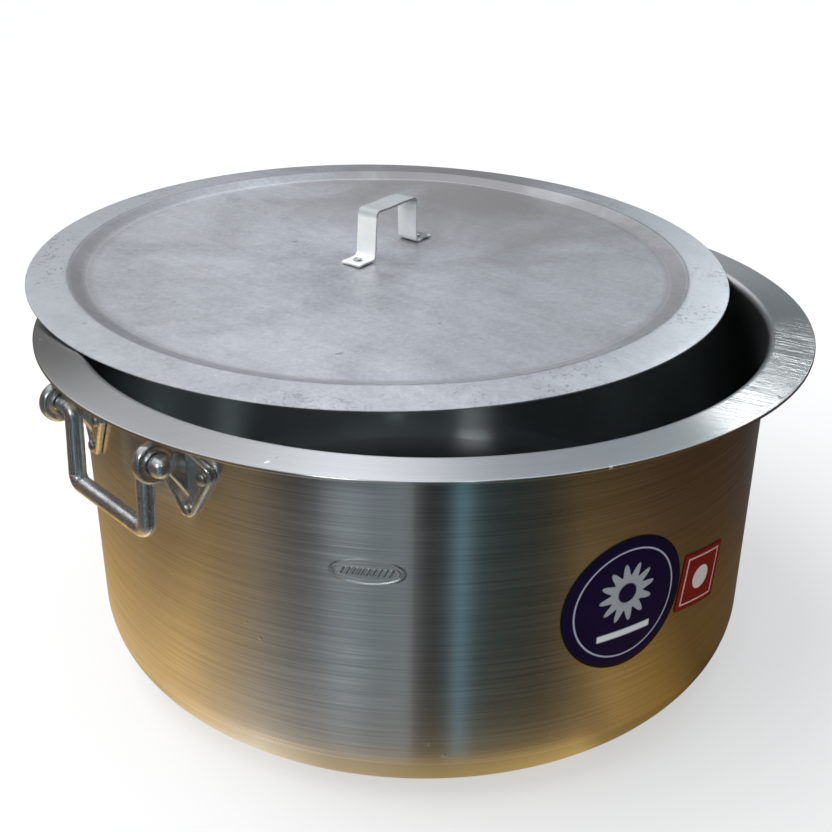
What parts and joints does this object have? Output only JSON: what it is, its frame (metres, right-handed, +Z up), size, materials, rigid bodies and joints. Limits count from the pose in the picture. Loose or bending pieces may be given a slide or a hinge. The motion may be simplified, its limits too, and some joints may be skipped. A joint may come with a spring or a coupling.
{
  "type": "brew kettle",
  "caption": "Wide sheet-metal kettle with a straight wall, rounded base and broad flat rim, a loose dished lid with a strap handle, and riveted drop handles on its sides.",
  "frame": {"origin": "middle of the flat base, on the underside", "axes": "+Z up along the pot's axis, +X and -X towards the two drop handles"},
  "size_m": [0.618, 0.6729, 0.3156],
  "materials": {
    "pot_metal": "brushed round the wall, satin",
    "lid_metal": "dull, mottled mill finish",
    "strap_metal": "bright galvanised strip",
    "lug_metal": "tumbled casting, dark polish",
    "bail_metal": "dark polished bar",
    "rivet_metal": "hammered heads",
    "round_label_ink": "printed film",
    "square_label_ink": "printed film"
  },
  "bodies": {
    "pot": {"pot_shell": "pot_metal", "left_lug_front": "lug_metal", "left_lug_back": "lug_metal", "right_lug_front": "lug_metal", "right_lug_back": "lug_metal", "left_lug_front_rivet_inner": "rivet_metal", "left_lug_front_rivet_outer": "rivet_metal", "left_lug_front_rivet_lower": "rivet_metal", "left_lug_back_rivet_inner": "rivet_metal", "left_lug_back_rivet_outer": "rivet_metal", "left_lug_back_rivet_lower": "rivet_metal", "right_lug_front_rivet_inner": "rivet_metal", "right_lug_front_rivet_outer": "rivet_metal", "right_lug_front_rivet_lower": "rivet_metal", "right_lug_back_rivet_inner": "rivet_metal", "right_lug_back_rivet_outer": "rivet_metal", "right_lug_back_rivet_lower": "rivet_metal", "round_label": "round_label_ink", "square_label": "square_label_ink"},
    "lid": {"lid_shell": "lid_metal", "lid_handle": "strap_metal", "lid_rivet_near": "rivet_metal", "lid_rivet_far": "rivet_metal"},
    "left_bail": {"left_bail": "bail_metal"},
    "right_bail": {"right_bail": "bail_metal"}
  },
  "joints": [
    {"name": "lid_lift", "type": "slide", "parent": "pot", "child": "lid", "axis": [0, 0, 1], "range_m": [0, 0.25]},
    {"name": "left_bail_hinge", "type": "hinge", "parent": "pot", "child": "left_bail", "pos_m": [-0.2781, 0, 0.2478], "axis": [0, 1, 0], "range_deg": [-14, 126]},
    {"name": "right_bail_hinge", "type": "hinge", "parent": "pot", "child": "right_bail", "pos_m": [0.2781, 0, 0.2478], "axis": [0, -1, 0], "range_deg": [-14, 109]}
  ]
}
